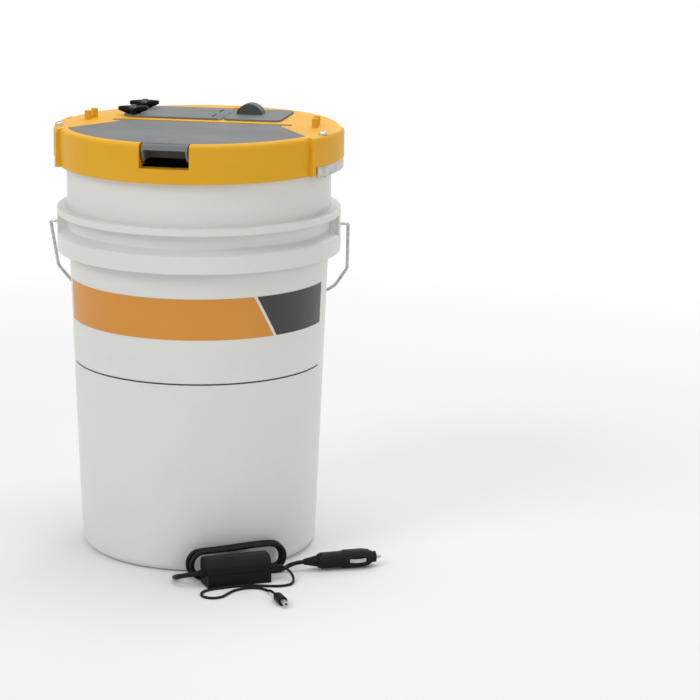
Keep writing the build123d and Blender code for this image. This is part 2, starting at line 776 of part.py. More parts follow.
def make_diaphragm():
    x0, x1, y0, y1 = pump_room()
    low = pump_floor + 18
    points = [(0, low), (9, low), (9, low + 3), (5, low + 9), (0, low + 9)]
    return Pos(x0 + 18, y0 + 18, 0) * turned(points)


def make_motor():
    x0, x1, y0, y1 = pump_room()
    x = x0 + 34 + motor_radius + 1
    y = y0 + 28
    can = Rot(90, 0, 0) * turned([(0, 0), (motor_radius, 0), (motor_radius, motor_length), (0, motor_length)],
                                 [0, 1.5, 1.5, 0])
    shaft = rod((0, -1, 0), (0, 6, 0), 1.2)
    return Pos(x, y + motor_length / 2, pump_floor + motor_radius) * (can + shaft)


def jack_place():
    """Middle of the jack, clear of the cover's edge and the recess's walls."""
    left, right, _ = jack_recess
    return (left + right) / 2, cover_rear_y + jack_flange + 0.5


def make_jack():
    """Shell of the low-voltage jack, which stands in its recess."""
    x, y = jack_place()
    floor = lid_top - recess_depth
    low = floor - jack_length
    shell = disc(jack_flange, floor, floor + jack_rim, x, y) + disc(jack_barrel, low, floor, x, y)
    return shell - disc(shaft_radius + running_gap, low + jack_floor, floor + 3, x, y)


def make_jack_pin():
    """Contact pin in the middle of the jack, up to just below its rim."""
    floor = lid_top - recess_depth
    return disc(shaft_bore - pin_gap, floor - jack_length + jack_floor, floor + jack_rim - 1, *jack_place())


def make_air_tube():
    top = pump_floor + 5.5
    low = floor_z + diffuser_height - 4
    return disc(tube_radius, low, top, tube_x, tube_y) - disc(tube_bore, low - 1, top + 1, tube_x, tube_y)


def make_guard():
    top = pump_floor - tub_wall
    outer = disc(guard_radius, guard_bottom, top, tube_x, tube_y)
    return outer - disc(guard_radius - guard_wall, guard_bottom - 1, top + 1, tube_x, tube_y)


def make_diffuser():
    """Weighted ring with notches round its edge and a hexagonal pocket."""
    low, high = floor_z, floor_z + diffuser_height
    ring = turned([(0, low), (diffuser_radius, low), (diffuser_radius, high), (0, high)], [0, 2, 4, 0])
    notch = disc(3.0, low - 1, high + 1, diffuser_radius + 1, 0)
    ring = ring - [Rot(0, 0, i * 360 / notch_count) * notch for i in range(notch_count)]
    pocket = prism(RegularPolygon(hex_radius + fit_gap, 6, rotation=30), low + 4, high + 1)
    placed = Pos(diffuser_x, diffuser_y, 0) * (ring - pocket)
    barb = disc(tube_radius + running_gap, high - 4, high + 1, tube_x, tube_y)
    return placed - barb


def make_insert():
    low = floor_z + 4
    top = floor_z + diffuser_height + hex_rise
    return Pos(diffuser_x, diffuser_y, 0) * prism(RegularPolygon(hex_radius, 6, rotation=30), low, top)


# ---- side latches ---------------------------------------------------------------------------------

def make_latch():
    """Curved band with a flange that reaches below the pail's bead."""
    high = latch_bottom + latch_band
    band = sector(latch_outer - latch_sheet, latch_outer, latch_bottom, high, latch_from, latch_to)
    z = skirt_z + 0.4
    flange = sector(latch_hook, latch_outer - 0.2, z, z + latch_sheet, screw_angle, latch_to)
    root = screw_place(disc(5.0, z, z + latch_sheet))
    tail = sector(screw_offset - 1, latch_outer - 0.2, z, z + latch_sheet, latch_from, screw_angle + 1)
    hole = screw_place(disc(screw_radius + running_gap, z - 2, z + 4))
    return band + [flange, root, tail] - hole


def make_screw():
    low = skirt_z - nut_height - 0.6
    shank = disc(screw_radius, low, lid_top + 1)
    head = turned([(0, lid_top), (screw_head, lid_top), (screw_head, lid_top + screw_head_height), (0, lid_top + screw_head_height)],
                  [0, 0, 2.6, 0])
    socket = prism(RegularPolygon(1.9, 6), lid_top + 1.4, lid_top + 6)
    return screw_place(shank + head - socket)


def make_nut():
    high = skirt_z + 0.3
    nut = prism(RegularPolygon(nut_radius, 6, rotation=30), high - nut_height, high)
    return screw_place(nut - disc(screw_radius, high - 10, high + 1))


# ---- vehicle lead ------------------------------------------------------------------------------------

def placed_lead(shape):
    """Moves a piece from the lead's own frame to the floor in front of the pail."""
    angle = math.radians(lead_turn)
    radius = base_radius - lead_seat
    at = Pos(radius * math.cos(angle), radius * math.sin(angle), 0)
    return at * Rot(0, 0, lead_turn + 90) * shape


def cord_tube(points, radius):
    """Round tube on straight runs and tangent arcs, with each arc as large as its runs allow."""
    runs = [Vector(*points[i + 1]) - Vector(*points[i]) for i in range(len(points) - 1)]
    radii = []
    for before, after in zip(runs, runs[1:]):
        half_turn = math.radians(before.get_angle(after)) / 2
        radii.append(0.45 * min(before.length, after.length) / math.tan(half_turn))
    path = FilletPolyline(*points, radius=radii)
    tube = sweep(Plane(origin=path @ 0, z_dir=path % 0) * Circle(radius), path=path)
    ideal = math.pi * radius ** 2 * path.length
    print("cord radii", [round(r, 1) for r in radii], "length", round(path.length, 1),
          "volume ratio", round(tube.volume / ideal, 4))
    return tube


def hank_path():
    """Flattened turns of the supply lead, one layer in front of the other."""
    z = supply_radius
    y = -hank_first
    edges = [Line((hank_begin, y, z), (hank_right[0], y, z))]
    for fold, right, left in zip(hank_fold, hank_right, hank_left):
        top = z + 2 * fold
        after = y - hank_pitch
        edges.append(ThreePointArc((right, y, z), (right + fold, y, z + fold), (right, y, top)))
        middle = ((right + left) / 2, (y + after) / 2, top)
        climb = TangentArc((right, y, top), middle, tangent=(-1, 0, 0))
        edges.append(climb)
        edges.append(TangentArc(middle, (left, after, top), tangent=climb % 1))
        edges.append(ThreePointArc((left, after, top), (left - fold, after, z + fold), (left, after, z)))
        y = after
        finish = hank_finish if right == hank_right[-1] else hank_right[hank_right.index(right) + 1]
        edges.append(Line((left, y, z), (finish, y, z)))
    return Wire(edges)


def make_hank():
    path = hank_path()
    report_gap(path)
    tube = sweep(Plane(origin=path @ 0, z_dir=path % 0) * Circle(supply_radius), path=path)
    ideal = math.pi * supply_radius ** 2 * path.length
    print("hank length", round(path.length, 1), "volume ratio", round(tube.volume / ideal, 4))
    return tube


def report_gap(path):
    """Prints the least gap between turns of the wound tube."""
    count = 500
    points = [path @ (i / count) for i in range(count + 1)]
    step = path.length / count
    skip = int(6 * supply_radius / step) + 1
    least = min((points[i] - points[j]).length for i in range(count + 1) for j in range(i + skip, count + 1))
    print("hank least gap", round(least - 2 * supply_radius, 2))


def hank_start():
    return (hank_begin, -hank_first, supply_radius)


def hank_end():
    return (hank_finish, -hank_first - hank_pitch * len(hank_fold), supply_radius)


def box_ends():
    return box_x - box_length / 2, box_x + box_length / 2


def box_middle():
    return -(box_front + box_rear) / 2


def make_adapter_box():
    left, right = box_ends()
    corners = [(0, -box_rear, 0), (0, -box_rear, box_height), (0, -box_front, box_height), (0, -box_front, 0)]
    face = make_face(FilletPolyline(*corners, radius=[2.0, 9.0, 10.0, 2.0], close=True))
    body = Pos(left, 0, 0) * extrude(face, amount=right - left, dir=(1, 0, 0))
    seam = block(left - 1, right + 1, -box_front - 1, -box_rear + 1, 13.6, 14.4)
    core = block(left + 0.6, right - 0.6, -box_front + 0.6, -box_rear - 0.6, 13, 15)
    return body - (seam - core)


def make_gland(side):
    """Tapered strain relief on one end of the adapter box."""
    left, right = box_ends()
    wide = 5.0 if side < 0 else 3.6
    narrow = supply_radius if side < 0 else output_radius
    cone = Cone(wide, narrow + 0.9, gland_length)
    x = (left if side < 0 else right) + side * gland_length / 2
    return Pos(x, box_middle(), gland_z) * Rot(0, side * 90, 0) * cone


def supply_to_box():
    """Supply lead from the box's left gland to the hank."""
    start = box_ends()[0] - gland_length
    y = box_middle()
    x, rear, low = hank_start()
    return [(start, y, gland_z), (start - 12.5, y, gland_z), (start - 21.5, y + 9, 9.0),
            (start - 21.5, rear - 9, 4.5), (start - 12.5, rear, low), (x, rear, low)]


def supply_to_plug():
    """Supply lead from the hank to the vehicle plug's relief."""
    x, y, z = hank_end()
    relief = plug_start()
    direction = plug_direction()
    ahead = [relief[i] - direction[i] * 11 for i in range(3)]
    return [(x, y, z), (x + 11, y, z), tuple(ahead), relief]


def plug_start():
    """Cord end of the vehicle plug's relief."""
    return (69.0, -22.5, plug_radius)


def plug_direction():
    a = math.radians(-plug_turn)
    return (math.cos(a), math.sin(a), 0.0)


def on_plug(shape):
    """Places a piece made along +Z from the plug's cord end."""
    x, y, z = plug_start()
    return Pos(x, y, z) * Rot(0, 0, -plug_turn) * Rot(0, 90, 0) * shape


def make_plug_relief():
    wide = plug_radius - 4
    return on_plug(turned([(0, 0), (supply_radius + 0.9, 0), (wide, relief_length), (0, relief_length)]))


def make_plug_body():
    r = plug_radius
    a = relief_length
    points = [(0, a), (r - 3.2, a), (r - 1.4, a + 4), (r - 1.2, a + 26), (r - 0.2, a + 30),
              (r - 0.2, a + plug_length - 8), (r - 1.6, a + plug_length), (0, a + plug_length)]
    body = turned(points, [0, 1.5, 3, 3, 3, 0, 1, 0])
    slot = block(-3, 3, r - 1.6, r + 2, a + 33, a + plug_length - 5)
    return on_plug(body - slot - Rot(0, 0, 180) * slot)


def make_plug_nose():
    r = plug_radius
    a = relief_length + plug_length
    points = [(0, a), (r - 3, a), (r - 3, a + 2), (r - 4.2, a + 2.6), (r - 4.2, a + 7), (2.2, a + 7), (2.2, a + 3), (0, a + 3)]
    return on_plug(turned(points))


def make_plug_tip():
    a = relief_length + plug_length + 3
    points = [(0, a), (2.1, a), (2.1, a + 8), (1.2, a + 10.5), (0, a + 10.5)]
    return on_plug(turned(points))


def make_plug_clip(side):
    """Spring strip that bows out of the plug's side slot."""
    r = plug_radius
    a = relief_length + 34
    length = plug_length - 8 - 33 + 1
    low, high = r - 1.6, r + 1.4
    outer = ThreePointArc((0, low + 0.6, a), (0, high, a + length / 2), (0, low + 0.6, a + length))
    inner = ThreePointArc((0, low, a + length), (0, high - 0.8, a + length / 2), (0, low, a))
    ends = [Line(outer @ 1, inner @ 0), Line(inner @ 1, outer @ 0)]
    face = make_face([outer, inner] + ends)
    strip = Pos(-2, 0, 0) * extrude(face, amount=4, dir=(1, 0, 0))
    return on_plug(Rot(0, 0, 0 if side > 0 else 180) * strip)


def output_route():
    """Thin output lead, from the box's right gland to the barrel connector."""
    x = box_ends()[1] + gland_length
    y = box_middle()
    z = output_radius
    front = -box_front
    return [
        (x, y, gland_z), (x + 9, y, gland_z), (x + 18, y - 7, 8.0), (x + 18, y - 18, 3.0),
        (x + 12, front - 15, z), (x, front - 18, z), (14, front - 13, z), (-1, front - 6, z),
        (-16, front - 3.5, z), (-33, front - 4, z), (-48, front - 5, z), (-59, front - 12, z),
        (-62, front - 24, z), (-54, front - 33, z), (-42, front - 32, z), (-33, front - 23, z),
        (-22, front - 14.5, z), (-7, front - 12, z), (5, front - 17, z), (10, front - 28, z),
        (9.3, front - 40, connector_radius), (9.3, front - 52, connector_radius),
    ]


def on_connector(shape):
    """Places a piece made along +Z from the connector's cord end."""
    x, y, z = output_route()[-1]
    return Pos(x, y, z) * Rot(90, 0, 0) * shape


def make_connector():
    r = connector_radius
    length = connector_length
    points = [(0, 0), (output_radius + 1.2, 0), (r - 0.8, 6), (r, 7), (r, length), (0, length)]
    return on_connector(turned(points))


def make_connector_shaft():
    low = connector_length
    high = low + shaft_length
    return on_connector(disc(shaft_radius, low, high) - disc(shaft_bore, low + 1, high + 1))


def make_parts():
    parts = {
        "pail": make_pail(),
        "lid": make_lid(),
        "lid_gasket": make_gasket(),
        "flap": make_flap(),
        "battery_cover": make_battery_cover(),
        "aerator_cover": make_aerator_cover(),
        "switch_rocker": make_rocker(),
        "contact_left": make_contact(-1),
        "contact_right": make_contact(1),
        "pump_housing": make_pump_housing(),
        "pump_diaphragm": make_diaphragm(),
        "pump_motor": make_motor(),
        "dc_jack": make_jack(),
        "jack_pin": make_jack_pin(),
        "air_tube": make_air_tube(),
        "air_tube_guard": make_guard(),
        "diffuser_ring": make_diffuser(),
        "diffuser_insert": make_insert(),
        "bail": make_bail(),
        "bail_grip": make_grip(),
    }
    for i, y in enumerate(knob_ys, 1):
        parts[f"knob_{i}"] = make_knob(y)
        parts[f"knob_stud_{i}"] = make_stud(y)
    for i, y in enumerate(cell_ys, 1):
        parts[f"battery_cell_{i}"] = make_cell(y)
    for name, make in (("side_latch", make_latch), ("latch_screw", make_screw), ("latch_nut", make_nut)):
        right, left = both_sides(make())
        parts[f"{name}_right"] = right
        parts[f"{name}_left"] = left
    lead = {
        "adapter_box": make_adapter_box(),
        "gland_supply": make_gland(-1),
        "gland_output": make_gland(1),
        "supply_lead_hank": make_hank(),
        "supply_lead_box": cord_tube(supply_to_box(), supply_radius),
        "supply_lead_plug": cord_tube(supply_to_plug(), supply_radius),
        "output_lead": cord_tube(output_route(), output_radius),
        "plug_relief": make_plug_relief(),
        "plug_body": make_plug_body(),
        "plug_nose": make_plug_nose(),
        "plug_tip": make_plug_tip(),
        "plug_clip_1": make_plug_clip(1),
        "plug_clip_2": make_plug_clip(-1),
        "connector_body": make_connector(),
        "connector_shaft": make_connector_shaft(),
    }
    for name, shape in lead.items():
        parts[name] = placed_lead(shape)
    return parts


os.makedirs("parts", exist_ok=True)
for node, solid in make_parts().items():
    export_step(solid, f"parts/{node}.step")
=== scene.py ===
import bpy
import math
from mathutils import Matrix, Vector


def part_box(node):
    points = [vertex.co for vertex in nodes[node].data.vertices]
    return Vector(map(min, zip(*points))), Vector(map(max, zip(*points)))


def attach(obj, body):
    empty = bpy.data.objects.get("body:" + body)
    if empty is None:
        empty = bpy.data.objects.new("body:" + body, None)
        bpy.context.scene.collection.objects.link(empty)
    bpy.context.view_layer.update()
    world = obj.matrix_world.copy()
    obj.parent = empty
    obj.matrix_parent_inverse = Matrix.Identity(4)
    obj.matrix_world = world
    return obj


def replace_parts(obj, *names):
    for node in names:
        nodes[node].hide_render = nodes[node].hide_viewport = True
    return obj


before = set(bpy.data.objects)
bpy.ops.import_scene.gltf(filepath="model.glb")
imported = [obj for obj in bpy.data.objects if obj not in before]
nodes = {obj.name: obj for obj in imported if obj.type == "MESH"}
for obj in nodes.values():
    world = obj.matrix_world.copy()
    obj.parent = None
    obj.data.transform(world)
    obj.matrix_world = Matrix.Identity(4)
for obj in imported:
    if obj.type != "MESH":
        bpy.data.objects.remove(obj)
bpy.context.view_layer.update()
print("bait bucket: frame loaded with", len(nodes), "nodes")

# where the camera stands, in metres and degrees, seen from the middle of the base
shot = {"turn": 14.0, "distance": 2.717, "height": 0.862, "down": 13.41, "lens": 130.9, "shift": 0.2157}


def placeCamera():
    turn = math.radians(shot["turn"])
    camera = bpy.data.objects.new("camera", bpy.data.cameras.new("camera"))
    bpy.context.scene.collection.objects.link(camera)
    camera.location = (shot["distance"] * math.sin(turn), -shot["distance"] * math.cos(turn), shot["height"])
    camera.rotation_euler = (math.radians(90 - shot["down"]), 0, turn)
    camera.data.sensor_width = 36
    camera.data.lens = shot["lens"]
    camera.data.shift_x = shot["shift"]
    camera.data.clip_end = 50
    bpy.context.scene.camera = camera


placeCamera()
bpy.context.scene.view_settings.view_transform = "Standard"


# small tools for node trees; each group is built once and placed in every material that needs it

def addNode(tree, kind, x, y=0, **settings):
    node = tree.nodes.new(kind)
    node.location = (x, y)
    for name, value in settings.items():
        setattr(node, name, value)
    return node


def setInputs(node, **values):
    for name, value in values.items():
        node.inputs[name.replace("_", " ")].default_value = value
    return node


def newGroup(name, inputs, outputs):
    group = bpy.data.node_groups.new(name, "ShaderNodeTree")
    for label, kind, default in inputs:
        socket = group.interface.new_socket(label, in_out="INPUT", socket_type=kind)
        if default is not None:
            socket.default_value = default
    for label, kind in outputs:
        group.interface.new_socket(label, in_out="OUTPUT", socket_type=kind)
    return group, addNode(group, "NodeGroupInput", -900), addNode(group, "NodeGroupOutput", 700)


def mixColours(tree, x, y, factor, first, second, blend="MIX"):
    # each of the three is a socket or a plain value
    mix = addNode(tree, "ShaderNodeMix", x, y, data_type="RGBA", blend_type=blend)
    for socket, value in ((mix.inputs[0], factor), (mix.inputs[6], first), (mix.inputs[7], second)):
        if isinstance(value, bpy.types.NodeSocket):
            tree.links.new(value, socket)
        else:
            socket.default_value = value
    return mix.outputs[2]


def mapRange(tree, x, y, value, low, high, toLow=0.0, toHigh=1.0):
    ranged = addNode(tree, "ShaderNodeMapRange", x, y)
    tree.links.new(value, ranged.inputs["Value"])
    for label, number in (("From Min", low), ("From Max", high), ("To Min", toLow), ("To Max", toHigh)):
        if isinstance(number, bpy.types.NodeSocket):
            tree.links.new(number, ranged.inputs[label])
        else:
            ranged.inputs[label].default_value = number
    return ranged.outputs["Result"]


def calculate(tree, x, y, operation, first, second):
    step = addNode(tree, "ShaderNodeMath", x, y, operation=operation)
    for socket, value in zip(step.inputs, (first, second)):
        if isinstance(value, bpy.types.NodeSocket):
            tree.links.new(value, socket)
        else:
            socket.default_value = value
    return step.outputs[0]


def noiseAt(tree, x, y, scale, detail=3.0, stretch=None):
    place = addNode(tree, "ShaderNodeTexCoord", x - 400, y)
    vector = place.outputs["Object"]
    if stretch:
        squeeze = addNode(tree, "ShaderNodeMapping", x - 200, y)
        squeeze.inputs["Scale"].default_value = stretch
        tree.links.new(vector, squeeze.inputs["Vector"])
        vector = squeeze.outputs["Vector"]
    noise = addNode(tree, "ShaderNodeTexNoise", x, y)
    noise.inputs["Detail"].default_value = detail
    tree.links.new(vector, noise.inputs["Vector"])
    if isinstance(scale, bpy.types.NodeSocket):
        tree.links.new(scale, noise.inputs["Scale"])
    else:
        noise.inputs["Scale"].default_value = scale
    return noise.outputs["Fac"]


def makeToneGroup():
    # slow drift of the colour, as in a moulding whose pigment isn't quite even
    group, start, end = newGroup("colourDrift", [
        ("Base", "NodeSocketColor", (0.5, 0.5, 0.5, 1)), ("Drift", "NodeSocketColor", (0.4, 0.4, 0.4, 1)),
        ("Scale", "NodeSocketFloat", 12.0), ("Amount", "NodeSocketFloat", 0.4)],
        [("Color", "NodeSocketColor"), ("Mask", "NodeSocketFloat")])
    noise = noiseAt(group, -500, 0, start.outputs["Scale"], 4.0)
    mask = mapRange(group, -250, 0, noise, 0.35, 0.68)
    scaled = calculate(group, 0, -100, "MULTIPLY", mask, start.outputs["Amount"])
    colour = mixColours(group, 250, 0, scaled, start.outputs["Base"], start.outputs["Drift"])
    group.links.new(colour, end.inputs["Color"])
    group.links.new(mask, end.inputs["Mask"])
    return group


def makeGrainGroup():
    # fine moulded skin: an etched grain over a soft waviness
    group, start, end = newGroup("mouldGrain", [
        ("Scale", "NodeSocketFloat", 900.0), ("Wave Scale", "NodeSocketFloat", 14.0),
        ("Wave", "NodeSocketFloat", 0.3)],
        [("Height", "NodeSocketFloat")])
    fine = noiseAt(group, -400, 200, start.outputs["Scale"], 2.0)
    wave = noiseAt(group, -400, -200, start.outputs["Wave Scale"], 2.0)
    lifted = calculate(group, 0, -150, "MULTIPLY", wave, start.outputs["Wave"])
    group.links.new(calculate(group, 300, 0, "ADD", fine, lifted), end.inputs["Height"])
    return group


def makeScuffGroup():
    # thin rub marks in two directions, as on a piece that is carried about
    group, start, end = newGroup("rubMarks", [
        ("Scale", "NodeSocketFloat", 30.0), ("Amount", "NodeSocketFloat", 0.3)], [("Mask", "NodeSocketFloat")])
    along = noiseAt(group, -500, 250, start.outputs["Scale"], 6.0, (1.0, 7.0, 12.0))
    across = noiseAt(group, -500, -50, start.outputs["Scale"], 6.0, (9.0, 1.0, 4.0))
    patch = noiseAt(group, -500, -350, 9.0, 2.0)
    marks = calculate(group, 0, 150, "MAXIMUM", mapRange(group, -200, 250, along, 0.62, 0.74),
                      mapRange(group, -200, -50, across, 0.63, 0.76))
    spread = mapRange(group, -200, -350, patch, 0.42, 0.7)
    shown = calculate(group, 200, 0, "MULTIPLY", marks, spread)
    group.links.new(calculate(group, 450, 0, "MULTIPLY", shown, start.outputs["Amount"]), end.inputs["Mask"])
    return group


def makeBrushGroup():
    # drawn or rolled metal: streaks along one direction
    group, start, end = newGroup("rolledStreaks", [
        ("Scale", "NodeSocketFloat", 60.0)], [("Streak", "NodeSocketFloat"), ("Blotch", "NodeSocketFloat")])
    streak = noiseAt(group, -400, 150, start.outputs["Scale"], 4.0, (1.0, 1.0, 26.0))
    blotch = noiseAt(group, -400, -150, 110.0, 3.0)
    group.links.new(streak, end.inputs["Streak"])
    group.links.new(mapRange(group, 0, -150, blotch, 0.38, 0.66), end.inputs["Blotch"])
    return group


colourDrift = makeToneGroup()
mouldGrain = makeGrainGroup()
rubMarks = makeScuffGroup()
rolledStreaks = makeBrushGroup()


def placeGroup(tree, group, x, y, **values):
    node = addNode(tree, "ShaderNodeGroup", x, y, node_tree=group)
    return setInputs(node, **values)


def newMaterial(name):
    material = bpy.data.materials.new(name)
    material.use_nodes = True
    tree = material.node_tree
    tree.nodes.clear()
    shader = addNode(tree, "ShaderNodeBsdfPrincipled", 500)
    end = addNode(tree, "ShaderNodeOutputMaterial", 800)
    tree.links.new(shader.outputs[0], end.inputs[0])
    return material, tree, shader


def mouldedPlastic(name, look):
    # a moulded piece: pigment drift, rub marks that dull and lighten it, etched grain
    material, tree, shader = newMaterial(name)
    tone = placeGroup(tree, colourDrift, -700, 200, Base=(*look["colour"], 1), Drift=(*look["drift"], 1),
                      Scale=look["driftScale"], Amount=look["driftAmount"])
    marks = placeGroup(tree, rubMarks, -700, -100, Scale=look["rubScale"], Amount=look["rub"])
    colour = mixColours(tree, -200, 200, marks.outputs["Mask"], tone.outputs["Color"], (*look["rubColour"], 1))
    tree.links.new(colour, shader.inputs["Base Color"])
    dulled = calculate(tree, -400, -100, "ADD", tone.outputs["Mask"], marks.outputs["Mask"])
    rough = mapRange(tree, -200, -100, dulled, 0.0, 1.6, look["rough"], look["rough"] + look["roughSpan"])
    tree.links.new(rough, shader.inputs["Roughness"])
    grain = placeGroup(tree, mouldGrain, -700, -400, Scale=look["grain"], Wave=look["wave"])
    bump = addNode(tree, "ShaderNodeBump", 100, -300)
    bump.inputs["Distance"].default_value = look["depth"]
    bump.inputs["Strength"].default_value = look.get("bump", 0.5)
    tree.links.new(grain.outputs["Height"], bump.inputs["Height"])
    tree.links.new(bump.outputs["Normal"], shader.inputs["Normal"])
    shader.inputs["Specular IOR Level"].default_value = look.get("specular", 0.5)
    shader.inputs["Coat Weight"].default_value = look.get("coat", 0.0)
    shader.inputs["Subsurface Weight"].default_value = look.get("glow", 0.0)
    shader.inputs["Subsurface Radius"].default_value = look.get("glowReach", (0.004, 0.003, 0.002))
    return material


def rolledMetal(name, look):
    # zinc-plated or blackened steel with rolling streaks and small stains
    material, tree, shader = newMaterial(name)
    streaks = placeGroup(tree, rolledStreaks, -700, 0, Scale=look["streakScale"])
    marks = placeGroup(tree, rubMarks, -700, -300, Scale=90.0, Amount=look["rub"])
    colour = mixColours(tree, -300, 200, streaks.outputs["Blotch"], (*look["colour"], 1), (*look["stain"], 1))
    worn = mixColours(tree, 0, 200, marks.outputs["Mask"], colour, (*look["rubColour"], 1))
    tree.links.new(worn, shader.inputs["Base Color"])
    rough = mapRange(tree, -300, -100, streaks.outputs["Streak"], 0.3, 0.7, look["rough"], look["rough"] + 0.18)
    tree.links.new(rough, shader.inputs["Roughness"])
    shader.inputs["Metallic"].default_value = look["metal"]
    bump = addNode(tree, "ShaderNodeBump", 200, -300)
    bump.inputs["Distance"].default_value = 0.00008
    bump.inputs["Strength"].default_value = 0.4
    tree.links.new(streaks.outputs["Streak"], bump.inputs["Height"])
    tree.links.new(bump.outputs["Normal"], shader.inputs["Normal"])
    return material


def addPiece(name, data, material, body):
    # links a new mesh or curve, adds its material and lets it ride on a body
    piece = bpy.data.objects.new(name, data)
    bpy.context.scene.collection.objects.link(piece)
    data.materials.append(material)
    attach(piece, body)
    return piece


def dress(material, *names):
    for name in names:
        mesh = nodes[name].data
        mesh.materials.clear()
        mesh.materials.append(material)


pail = {"colour": (0.77, 0.775, 0.745), "drift": (0.70, 0.70, 0.655), "driftScale": 7.0,
        "driftAmount": 0.35, "rough": 0.33, "roughSpan": 0.14, "rub": 0.25, "rubScale": 14.0,
        "rubColour": (0.62, 0.62, 0.58), "grain": 500.0, "wave": 1.6, "depth": 0.0005, "bump": 0.35,
        "glow": 0.08}
lid = {"colour": (0.80, 0.425, 0.018), "drift": (0.74, 0.35, 0.012), "driftScale": 11.0, "driftAmount": 0.4,
       "rough": 0.44, "roughSpan": 0.16, "rub": 0.35, "rubScale": 26.0, "rubColour": (0.83, 0.51, 0.10),
       "grain": 1100.0, "wave": 0.5, "depth": 0.00035, "bump": 0.4, "specular": 0.22}
greyCovers = {"colour": (0.178, 0.186, 0.188), "drift": (0.150, 0.157, 0.160), "driftScale": 13.0,
              "driftAmount": 0.5, "rough": 0.52, "roughSpan": 0.16, "rub": 0.4, "rubScale": 30.0,
              "rubColour": (0.26, 0.27, 0.27), "grain": 1200.0, "wave": 0.4, "depth": 0.00035, "bump": 0.45,
              "specular": 0.2}
# a darker copy of the grey cover plastic, laid on the hood as painted shade
greyHoodPaintedShade = {"colour": (0.080, 0.084, 0.086), "drift": (0.064, 0.067, 0.069), "driftScale": 20.0,
            "driftAmount": 0.5, "rough": 0.48, "roughSpan": 0.16, "rub": 0.4, "rubScale": 40.0,
            "rubColour": (0.15, 0.155, 0.155), "grain": 1200.0, "wave": 0.4, "depth": 0.00035, "bump": 0.45,
            "specular": 0.25}
blackParts = {"colour": (0.005, 0.005, 0.005), "drift": (0.009, 0.0085, 0.0085), "driftScale": 40.0,
              "driftAmount": 0.6, "rough": 0.42, "roughSpan": 0.2, "rub": 0.3, "rubScale": 60.0,
              "rubColour": (0.03, 0.03, 0.029), "grain": 1400.0, "wave": 0.4, "depth": 0.0003, "bump": 0.4,
              "specular": 0.16}
softBlack = {"colour": (0.006, 0.006, 0.006), "drift": (0.010, 0.010, 0.0095), "driftScale": 45.0,
             "driftAmount": 0.6, "rough": 0.55, "roughSpan": 0.2, "rub": 0.3, "rubScale": 50.0,
             "rubColour": (0.028, 0.028, 0.027), "grain": 900.0, "wave": 0.6, "depth": 0.0003, "bump": 0.4,
             "specular": 0.14}
cordJacket = {"colour": (0.005, 0.005, 0.005), "drift": (0.009, 0.009, 0.009), "driftScale": 60.0,
              "driftAmount": 0.6, "rough": 0.40, "roughSpan": 0.16, "rub": 0.3, "rubScale": 80.0,
              "rubColour": (0.025, 0.025, 0.025), "grain": 1500.0, "wave": 0.5, "depth": 0.0002,
              "bump": 0.35, "specular": 0.18}
gripPlastic = {"colour": (0.66, 0.66, 0.63), "drift": (0.58, 0.58, 0.54), "driftScale": 18.0,
               "driftAmount": 0.4, "rough": 0.45, "roughSpan": 0.2, "rub": 0.5, "rubScale": 50.0,
               "rubColour": (0.45, 0.44, 0.40), "grain": 1000.0, "wave": 0.5, "depth": 0.0004, "bump": 0.4}
milkyTube = {"colour": (0.72, 0.70, 0.62), "drift": (0.62, 0.58, 0.48), "driftScale": 16.0,
             "driftAmount": 0.6, "rough": 0.30, "roughSpan": 0.16, "rub": 0.3, "rubScale": 30.0,
             "rubColour": (0.55, 0.52, 0.42), "grain": 900.0, "wave": 0.5, "depth": 0.0002, "bump": 0.3,
             "glow": 0.3}
oliveInsert = {"colour": (0.34, 0.26, 0.02), "drift": (0.28, 0.21, 0.015), "driftScale": 30.0,
               "driftAmount": 0.6, "rough": 0.5, "roughSpan": 0.2, "rub": 0.4, "rubScale": 60.0,
               "rubColour": (0.42, 0.36, 0.10), "grain": 1200.0, "wave": 0.5, "depth": 0.0003, "bump": 0.4}
cellSleeve = {"colour": (0.07, 0.07, 0.075), "drift": (0.05, 0.05, 0.055), "driftScale": 30.0,
              "driftAmount": 0.5, "rough": 0.28, "roughSpan": 0.16, "rub": 0.3, "rubScale": 60.0,
              "rubColour": (0.14, 0.14, 0.14), "grain": 1500.0, "wave": 0.4, "depth": 0.0002, "bump": 0.3}
platedSteel = {"colour": (0.56, 0.56, 0.54), "stain": (0.42, 0.41, 0.38), "rubColour": (0.70, 0.70, 0.68),
               "rough": 0.30, "rub": 0.5, "metal": 1.0, "streakScale": 55.0}
blackSteel = {"colour": (0.030, 0.030, 0.030), "stain": (0.045, 0.040, 0.036),
              "rubColour": (0.16, 0.16, 0.155), "rough": 0.42, "rub": 0.6, "metal": 0.8,
              "streakScale": 70.0}

whitePlastic = mouldedPlastic("whitePlastic", pail)
yellowPlastic = mouldedPlastic("yellowPlastic", lid)
greyPlastic = mouldedPlastic("greyPlastic", greyCovers)
hoodPaintedShade = mouldedPlastic("hoodPaintedShade", greyHoodPaintedShade)
blackPlastic = mouldedPlastic("blackPlastic", blackParts)
blackRubber = mouldedPlastic("blackRubber", softBlack)
cordVinyl = mouldedPlastic("cordVinyl", cordJacket)
rollerPlastic = mouldedPlastic("rollerPlastic", gripPlastic)
tubePlastic = mouldedPlastic("tubePlastic", milkyTube)
insertPlastic = mouldedPlastic("insertPlastic", oliveInsert)
sleevePlastic = mouldedPlastic("sleevePlastic", cellSleeve)
zincSteel = rolledMetal("zincSteel", platedSteel)
darkSteel = rolledMetal("darkSteel", blackSteel)

